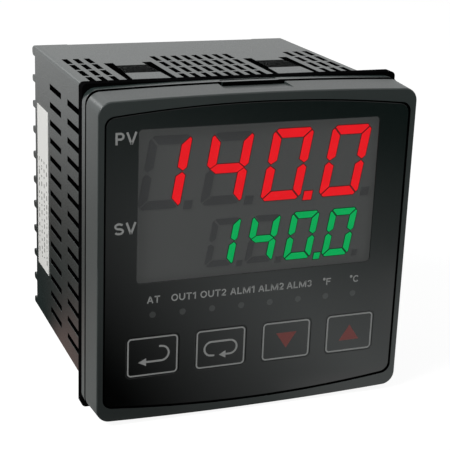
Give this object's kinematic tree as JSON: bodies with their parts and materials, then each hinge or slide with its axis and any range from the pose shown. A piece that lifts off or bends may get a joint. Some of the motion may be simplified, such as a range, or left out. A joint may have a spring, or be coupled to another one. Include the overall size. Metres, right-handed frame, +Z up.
{
  "type": "temperature limit controller",
  "caption": "Panel-mount temperature limit controller: vented square case with flange and gasket, plug-in module, two digit rows, status lamps, film keys and rear screw terminals.",
  "frame": {"origin": "middle of the gasket's rear face, which lies on the front of the panel", "axes": "+X to the right and +Z up as seen from the front, +Y into the panel"},
  "size_m": [0.096, 0.0925, 0.097],
  "materials": {
    "case": "fine grey texture",
    "gasket": "black rubber",
    "label": "white film, blank",
    "terminal_base": "black moulded",
    "contact": "plated",
    "washer": "zinc plated",
    "screw": "zinc plated",
    "connector": "black moulded",
    "bezel": "fine dark grey texture",
    "overlay": "gloss black film",
    "lens": "smoked clear",
    "display_face": "dark grey",
    "red_segment": "lit red",
    "dark_segment": "unlit",
    "green_segment": "lit green",
    "light_guide": "frosted clear",
    "led": "pale",
    "switch": "black moulded",
    "board": "green solder mask",
    "brace": "pale grey moulded",
    "core": "stacked sheet steel",
    "coil": "yellow tape",
    "capacitor": "dark blue sleeve",
    "relay": "blue case",
    "chip": "black",
    "stem": "white moulded"
  },
  "bodies": {
    "case": {"case": "case", "panel_gasket": "gasket", "side_label": "label", "terminal_base": "terminal_base", "terminal_plates": "contact", "terminal_washers": "washer", "terminal_screws": "screw", "left_socket": "connector", "right_socket": "connector"},
    "chassis": {"bezel": "bezel", "front_overlay": "overlay", "display_lens": "lens", "display_housing": "display_face", "upper_digits_lit": "red_segment", "upper_digits_dark": "dark_segment", "lower_digits_lit": "green_segment", "lower_digits_dark": "dark_segment", "indicator_light_guide": "light_guide", "indicator_leds": "led", "switch_housings": "switch", "display_board": "board", "power_board": "board", "control_board": "board", "board_headers": "connector", "board_brace": "brace", "transformer_core": "core", "transformer_coil": "coil", "filter_capacitors": "capacitor", "output_relays": "relay", "controller_chip": "chip"},
    "enter_key": {"enter_key_pad": "overlay", "enter_key_stem": "stem"},
    "mode_key": {"mode_key_pad": "overlay", "mode_key_stem": "stem"},
    "down_key": {"down_key_pad": "overlay", "down_key_stem": "stem"},
    "up_key": {"up_key_pad": "overlay", "up_key_stem": "stem"}
  },
  "joints": [
    {"name": "chassis_slide", "type": "slide", "parent": "case", "child": "chassis", "axis": [0, -1, 0], "range_m": [0, 0.075]},
    {"name": "enter_key_press", "type": "slide", "parent": "chassis", "child": "enter_key", "axis": [0, 1, 0], "range_m": [0, 0.0004], "stiffness_N_per_m": 3000},
    {"name": "mode_key_press", "type": "slide", "parent": "chassis", "child": "mode_key", "axis": [0, 1, 0], "range_m": [0, 0.0004], "stiffness_N_per_m": 3000},
    {"name": "down_key_press", "type": "slide", "parent": "chassis", "child": "down_key", "axis": [0, 1, 0], "range_m": [0, 0.0004], "stiffness_N_per_m": 3000},
    {"name": "up_key_press", "type": "slide", "parent": "chassis", "child": "up_key", "axis": [0, 1, 0], "range_m": [0, 0.0004], "stiffness_N_per_m": 3000}
  ]
}
